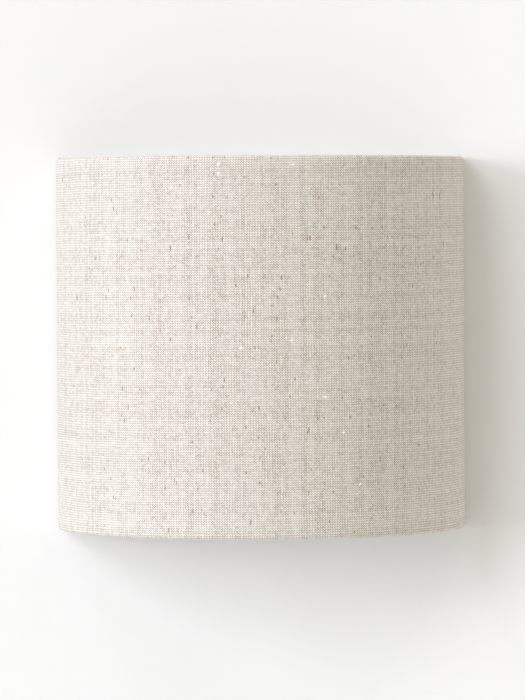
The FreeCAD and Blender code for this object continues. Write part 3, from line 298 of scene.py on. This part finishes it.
# The plan is the wires' half circle, from the left strut round the front to the right strut, and the columns
# past a strut turn about it. At each column the section is a roll round the bottom wire, a straight wall and
# a roll round the top wire.
# A point is the wire's place + hem radius * (cos(roll) * outwards + sin(roll) * up).
def makeCover():
    low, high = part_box("shade_fabric")
    strutLow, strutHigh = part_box("right_strut")
    hem = cover["hemRadius"]
    radius = -low.y
    ringRadius, ringRise = radius - hem, high.z - hem
    rearAngle = math.atan2(-(strutLow.y + strutHigh.y) / 2, (strutLow.x + strutHigh.x) / 2)

    # where each column stands on the wire and which way the cloth faces there
    wallTurn = np.linspace(math.pi + rearAngle, 2 * math.pi - rearAngle, cover["wallColumns"])
    rearTurn = math.radians(cover["strutTurn"]) * np.linspace(0, 1, cover["rearColumns"] + 1)[1:]
    facing = np.concatenate([(wallTurn[0] - rearTurn)[::-1], wallTurn, wallTurn[-1] + rearTurn])
    standing = np.clip(facing, wallTurn[0], wallTurn[-1])
    centre = np.stack([ringRadius * np.cos(standing), ringRadius * np.sin(standing)], axis=1)
    outward = np.stack([np.cos(facing), np.sin(facing)], axis=1)
    wallLength = (wallTurn - wallTurn[0]) * radius
    along = np.concatenate([-(rearTurn * hem)[::-1], wallLength, wallLength[-1] + rearTurn * hem])

    # rolled hem, wall, rolled hem; the roll is shorter where the cloth nears a rear corner
    hemRows, wallRows = cover["hemRows"], cover["wallRows"]
    roll = np.linspace(0, 1, hemRows + 1)[1:]
    rise = np.concatenate([np.zeros(hemRows), np.linspace(0, 1, wallRows), np.ones(hemRows)])
    share = np.concatenate([-roll[::-1], np.zeros(wallRows), roll])
    nearRear = smoothStep(np.minimum(along, wallLength[-1] - along) / cover["mitre"])
    turn = np.radians(cover["cornerTurn"] + (cover["ringTurn"] - cover["cornerTurn"]) * nearRear)
    beta = share[:, None] * turn[None, :]

    # the hems are a little uneven, as cloth rolled by hand is: a sum of sines along them
    rng = np.random.default_rng(cover["seed"])
    uneven = np.zeros(len(along))
    for waves in cover["waves"]:
        phase = rng.uniform(0, 6.28)
        uneven += np.sin(along / wallLength[-1] * math.pi * waves + phase) / len(cover["waves"])
    uneven = 1 - cover["waviness"] * (0.5 + 0.5 * uneven) * nearRear
    blend = smoothStep(np.abs(share) / cover["waveStart"])[:, None]
    rolled = hem * (1 - blend + blend * uneven[None, :])

    points = np.empty((len(share), len(along), 3))
    points[..., 0] = centre[:, 0] + rolled * np.cos(beta) * outward[:, 0]
    points[..., 1] = centre[:, 1] + rolled * np.cos(beta) * outward[:, 1]
    points[..., 2] = ringRise * (2 * rise[:, None] - 1) + rolled * np.sin(beta)
    uv = np.empty((len(share), len(along), 2))
    uv[..., 0] = along
    uv[..., 1] = 2 * ringRise * rise[:, None] + hem * beta
    piece = newSheet("linenCover", gridMesh("linenCover", points, uv), makeLinen(), "shade_fabric",
                     cover["thickness"], even=True)


makeCover()


# noise on the object's own coordinates, with grains of a given size, finer along the stretched axes
def speckle(tree, size, detail=2.0, stretch=(1, 1, 1)):
    place = addNode(tree, "TexCoord", output="Object")
    place = addNode(tree, "Mapping", {"Vector": place, "Scale": stretch})
    return addNode(tree, "TexNoise", {"Vector": place, "Scale": 1 / size, "Detail": detail})


# the same noise as a relief of a given depth
def addGrain(tree, shader, size, depth, strength, detail=1.0, stretch=(1, 1, 1)):
    height = speckle(tree, size, detail, stretch)
    bump = addNode(tree, "Bump", {"Strength": strength, "Distance": depth, "Height": height})
    tree.links.new(bump, shader.inputs["Normal"])


# roughness that goes between two values with a noise
def varyRoughness(tree, shader, field, low, high):
    spread = addNode(tree, "MapRange", {0: field, 1: 0.3, 2: 0.7, 3: low, 4: high})
    tree.links.new(spread, shader.inputs["Roughness"])


# colour that goes from one to another as a field goes from start to end
def varyColour(tree, shader, field, start, end, low, high):
    spread = addNode(tree, "MapRange", {0: field, 1: start, 2: end})
    mix = addNode(tree, "Mix", {0: spread, 6: toLinear(low), 7: toLinear(high)}, output=2, data_type="RGBA")
    tree.links.new(mix, shader.inputs["Base Color"])


# liner: white laminating sheet that the linen is glued to, satin and smoother than the cloth
liner = {
    "thickness": 0.5 * mm,
    "colour": "#f3f1ec",
    "columns": 145,
    "rows": 9,
}


# A part cylinder: place = (radius * cos(turn), radius * sin(turn), rise), with turn along the columns.
def makeLiner():
    low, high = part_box("shade_liner")
    radius = -low.y
    start = math.asin(-high.y / radius)
    turn = np.linspace(math.pi + start, 2 * math.pi - start, liner["columns"])
    points = np.empty((liner["rows"], liner["columns"], 3))
    points[..., 0] = radius * np.cos(turn)
    points[..., 1] = radius * np.sin(turn)
    points[..., 2] = np.linspace(low.z, high.z, liner["rows"])[:, None]
    material, tree, shader = newMaterial("laminateSheet", {
        "Base Color": toLinear(liner["colour"]), "Roughness": 0.38, "Subsurface Weight": 0.15,
        "Subsurface Scale": 0.5 * mm, "Subsurface Radius": (1, 1, 1)})
    addGrain(tree, shader, 3.85 * mm, 0.1 * mm, 0.2, detail=2.0)
    newSheet("linerSheet", gridMesh("linerSheet", points), material, "shade_liner",
             liner["thickness"], even=False)
    print("liner", round(radius, 4))


makeLiner()


# powder coat, baked polyester on steel: satin white with a fine orange peel
def makePowderCoat(name, colour, peel):
    material, tree, shader = newMaterial(name, {
        "Base Color": toLinear(colour), "Roughness": 0.4, "IOR": 1.5})
    addGrain(tree, shader, peel, 0.05 * mm, 0.25)
    return material


# plated or turned metal: its tone shifts a little and fine marks soften the shine
def makePlated(name, dark, light, smooth, rough, stretch=(1, 1, 1)):
    material, tree, shader = newMaterial(name, {"Metallic": 1.0})
    varyColour(tree, shader, speckle(tree, 6.25 * mm), 0.35, 0.65, dark, light)
    varyRoughness(tree, shader, speckle(tree, 1.43 * mm, detail=3.0, stretch=stretch), smooth, rough)
    addGrain(tree, shader, 0.556 * mm, 0.02 * mm, 0.12, stretch=stretch)
    return material


# moulded plastic: even colour, soft sheen, and a spark-eroded grain that is only seen close to
def makeMoulded(name, colour, roughness, milkiness=0.0):
    material, tree, shader = newMaterial(name, {
        "Base Color": toLinear(colour), "Roughness": roughness, "IOR": 1.5, "Subsurface Weight": milkiness,
        "Subsurface Scale": 1.5 * mm, "Subsurface Radius": (1, 1, 1)})
    addGrain(tree, shader, 0.714 * mm, 0.02 * mm, 0.15)
    return material


# moulded rubber: dull black with a bloom of grey
def makeRubber():
    material, tree, shader = newMaterial("mouldedRubber", {"IOR": 1.52})
    varyColour(tree, shader, speckle(tree, 4.55 * mm), 0.35, 0.65, "#151515", "#232322")
    varyRoughness(tree, shader, speckle(tree, 2 * mm), 0.55, 0.75)
    return material


# glazed porcelain: a clear glossy coat over a warm white body with sparse iron specks
def makePorcelain():
    material, tree, shader = newMaterial("glazedPorcelain", {
        "Roughness": 0.35, "Coat Weight": 1.0, "Coat Roughness": 0.06})
    varyColour(tree, shader, speckle(tree, 0.667 * mm, detail=0.0), 0.78, 0.82, "#efebe2", "#b59f86")
    addGrain(tree, shader, 5.56 * mm, 0.05 * mm, 0.1, detail=2.0)
    return material


# wire insulation, extruded vinyl: smooth and coloured, faintly drawn along its length
def makeInsulation(name, colour, stripe=None):
    material, tree, shader = newMaterial(name, {
        "Base Color": toLinear(colour), "Roughness": 0.32, "IOR": 1.53})
    addGrain(tree, shader, 1.11 * mm, 0.03 * mm, 0.2, stretch=(1, 1, 0.15))
    if stripe:
        # the stripe runs along the wire: it covers the side whose normal leans to the right or upwards
        normal = addNode(tree, "TexCoord", output="Normal")
        side = (0.7, 0.1, 0.7)
        lean = addNode(tree, "VectorMath", {0: normal, 1: side}, output="Value", operation="DOT_PRODUCT")
        varyColour(tree, shader, lean, 0.08, 0.12, colour, stripe)
    return material


# opal polycarbonate: a satin skin over a milky body that carries light inwards
def makeOpal():
    material, tree, shader = newMaterial("opalDiffuser", {
        "Base Color": toLinear("#f6f4ef"), "Roughness": 0.42, "IOR": 1.58, "Subsurface Weight": 0.5,
        "Subsurface Scale": 2 * mm, "Subsurface Radius": (1, 1, 1)})
    addGrain(tree, shader, 0.455 * mm, 0.02 * mm, 0.08, detail=0.0)
    return material


# the finishes of the frame, bracket, lampholder and bulb, by the name of the CAD's own material
finishes = {
    "frame_wire": makePowderCoat("powderCoatedWire", "#eeedea", 1.11 * mm),
    "plate": makePowderCoat("powderCoatedPlate", "#ebeae6", 1.54 * mm),
    "zinc_steel": makePlated("brightZincPlate", "#b4b8bd", "#cfd0cc", 0.22, 0.40),
    "nickel": makePlated("satinNickelPlate", "#b9b2a6", "#cbc5ba", 0.20, 0.34, (1.0, 0.2, 0.2)),
    "rubber": makeRubber(),
    "terminal_plastic": makeMoulded("naturalPolyamide", "#e9e6dc", 0.42, 0.3),
    "brass": makePlated("turnedBrass", "#b98f45", "#d2ad62", 0.20, 0.36, (0.3, 0.3, 1.0)),
    "tinned_copper": makePlated("tinnedCopper", "#b9b9b8", "#cfcdc8", 0.28, 0.45),
    "holder_plastic": makeMoulded("whiteThermoset", "#efeee9", 0.24),
    "ceramic": makePorcelain(),
    "brown_wire": makeInsulation("brownInsulation", "#5a3620"),
    "blue_wire": makeInsulation("blueInsulation", "#2a5fa8"),
    "green_wire": makeInsulation("greenYellowInsulation", "#3c8b3a", "#e6d23a"),
    "opal": makeOpal(),
    "bulb_plastic": makeMoulded("bulbCollar", "#ecebe6", 0.34, 0.1),
    "board": makeMoulded("solderMask", "#f0efe9", 0.4),  # a satin lacquer on the bulb's board
    "black_glass": makeMoulded("blackGlass", "#101012", 0.08),  # pressed glass, the smoothest face here
    "solder": makePlated("tinSolder", "#a9aaab", "#c3c4c4", 0.30, 0.50),
    "nylon": makeMoulded("naturalNylon", "#ece8dc", 0.45, 0.4),
}

for node in nodes.values():
    first = node.data.materials[0].name.split(".")[0] if len(node.data.materials) else ""
    if first in finishes:
        node.data.materials.clear()
        node.data.materials.append(finishes[first])
    else:
        print(node.name, "is left to its sheet")
print("finishes given")


# the room: a painted wall, a pale floor below, soft lamps from the left and a warm sky
room = {
    "wallGap": 0.4 * mm,
    "plateEdge": 1 * mm,  # how far the wall reaches in behind the plate's edges
    "wallColour": "#ededed",
    "plaster": 4.55 * mm,
    "floorColour": "#e7e7e6",
    "floorDrop": 1.25,
    "reach": 5.0,
    "floorDepth": 6.0,
    "height": 4.0,
    # turn and rise of the way to each lamp in degrees, its share of the light, and its tint
    "lamps": {
        "key": (-53, 6, 0.475, "cool"),
        "high": (-35, 25, 0.262, "cool"),
        "side": (-65, 65, 0.254, "cool"),
        "edge": (92, 0, 0.08, "warm"),
        "fillHigh": (45, 65, 0.091, "warm"),
    },
    "softness": 22.0,  # degrees that a lamp spans
    "skyShare": 0.43,
    "cool": (0.955, 1.0, 1.10),  # tints are linear light, not colours of a surface
    "warm": (1.085, 1.0, 0.82),
    "backdrop": "#f4f3f0",
}


# a flat piece of the stage from its corners and faces
def newStage(name, corners, faces, material):
    mesh = bpy.data.meshes.new(name)
    mesh.from_pydata(corners, [], faces)
    mesh.materials.append(material)
    piece = bpy.data.objects.new(name, mesh)
    bpy.context.scene.collection.objects.link(piece)
    return piece


def makeStage():
    # emulsion paint on plaster: matt, gently uneven, and clear from behind so that the back can be seen
    material, tree, shader = newMaterial("wallPaint", {
        "Base Color": toLinear(room["wallColour"]), "Roughness": 0.9, "Specular IOR Level": 0.0})
    addGrain(tree, shader, room["plaster"], 0.3 * mm, 0.25, detail=2.0)
    behind = addNode(tree, "NewGeometry", output="Backfacing")
    clear = addNode(tree, "BsdfTransparent")
    mix = addNode(tree, "MixShader", {0: behind, 1: shader.outputs[0], 2: clear})
    tree.links.new(mix, tree.nodes["Material Output"].inputs["Surface"])

    # the wall is left open behind the plate, which hides it, so that the plate's back isn't black
    reach, top, y, z = room["reach"], room["height"], room["wallGap"], -room["floorDrop"]
    low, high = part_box("wall_plate")
    edge = room["plateEdge"]
    left, right, bottom, head = low.x + edge, high.x - edge, low.z + edge, high.z - edge
    wallCorners = [(-reach, y, z), (reach, y, z), (reach, y, top), (-reach, y, top),
                   (left, y, bottom), (right, y, bottom), (right, y, head), (left, y, head)]
    wall = newStage("wall", wallCorners, [(0, 1, 5, 4), (1, 2, 6, 5), (2, 3, 7, 6), (3, 0, 4, 7)], material)
    wall.visible_shadow = False  # the edge lamp shines from just behind it

    # floor paint: matt and pale
    paint = newMaterial("floorPaint", {"Base Color": toLinear(room["floorColour"]), "Roughness": 0.9})[0]
    depth = room["floorDepth"]
    floorCorners = [(-reach, -depth, z), (reach, -depth, z), (reach, depth, z), (-reach, depth, z)]
    floor = newStage("floor", floorCorners, [(0, 1, 2, 3)], paint)
    print("stage set")


def makeLight():
    scene = bpy.context.scene
    scene.world = bpy.data.worlds.new("room")
    scene.world.use_nodes = True
    sky = scene.world.node_tree
    plain = sky.nodes["Background"]
    plain.inputs["Color"].default_value = (*room["warm"], 1)
    plain.inputs["Strength"].default_value = room["skyShare"]
    # the camera, mirrors and glass see a pale backdrop instead of the sky
    seen = 0.0
    for ray in ("Is Camera Ray", "Is Glossy Ray", "Is Transmission Ray"):
        sight = addNode(sky, "LightPath", output=ray)
        seen = addNode(sky, "Math", {0: seen, 1: sight}, operation="MAXIMUM")
    pale = addNode(sky, "Background", {"Color": toLinear(room["backdrop"]), "Strength": 1.0})
    mix = addNode(sky, "MixShader", {0: seen, 1: plain.outputs[0], 2: pale})
    sky.links.new(mix, sky.nodes["World Output"].inputs["Surface"])

    for name, (turn, rise, share, tone) in room["lamps"].items():
        lamp = bpy.data.lights.new(f"{name}Lamp", "SUN")
        lamp.energy = math.pi * share
        lamp.angle = math.radians(room["softness"])
        lamp.color = room[tone]
        turn, rise = math.radians(turn), math.radians(rise)
        level = math.cos(rise)
        onward = Vector((-math.sin(turn) * level, math.cos(turn) * level, -math.sin(rise)))
        holder = bpy.data.objects.new(f"{name}Lamp", lamp)
        holder.rotation_euler = onward.to_track_quat("-Z", "Y").to_euler()
        scene.collection.objects.link(holder)
    print("lamps hung:", len(room["lamps"]))


makeStage()
makeLight()

# the view: straight on from 2.7 m, a little above the middle
view = {
    "from": (0.0008, -2.7, 0.067),
    "at": (0.0009, 0.0, -0.004),
    "lens": 257.05,
    "roll": -0.343,  # degrees
    "farthest": 50,
}


def makeCamera():
    scene = bpy.context.scene
    data = bpy.data.cameras.new("camera")
    data.lens = view["lens"]
    data.clip_end = view["farthest"]
    camera = bpy.data.objects.new("camera", data)
    scene.collection.objects.link(camera)
    start, aim = Vector(view["from"]), Vector(view["at"])
    level = (aim - start).to_track_quat("-Z", "Y").to_matrix()
    camera.location = start
    camera.rotation_euler = (level @ Matrix.Rotation(math.radians(view["roll"]), 3, "Z")).to_euler()
    scene.camera = camera
    scene.view_settings.view_transform = "Standard"
    print("camera placed")


makeCamera()
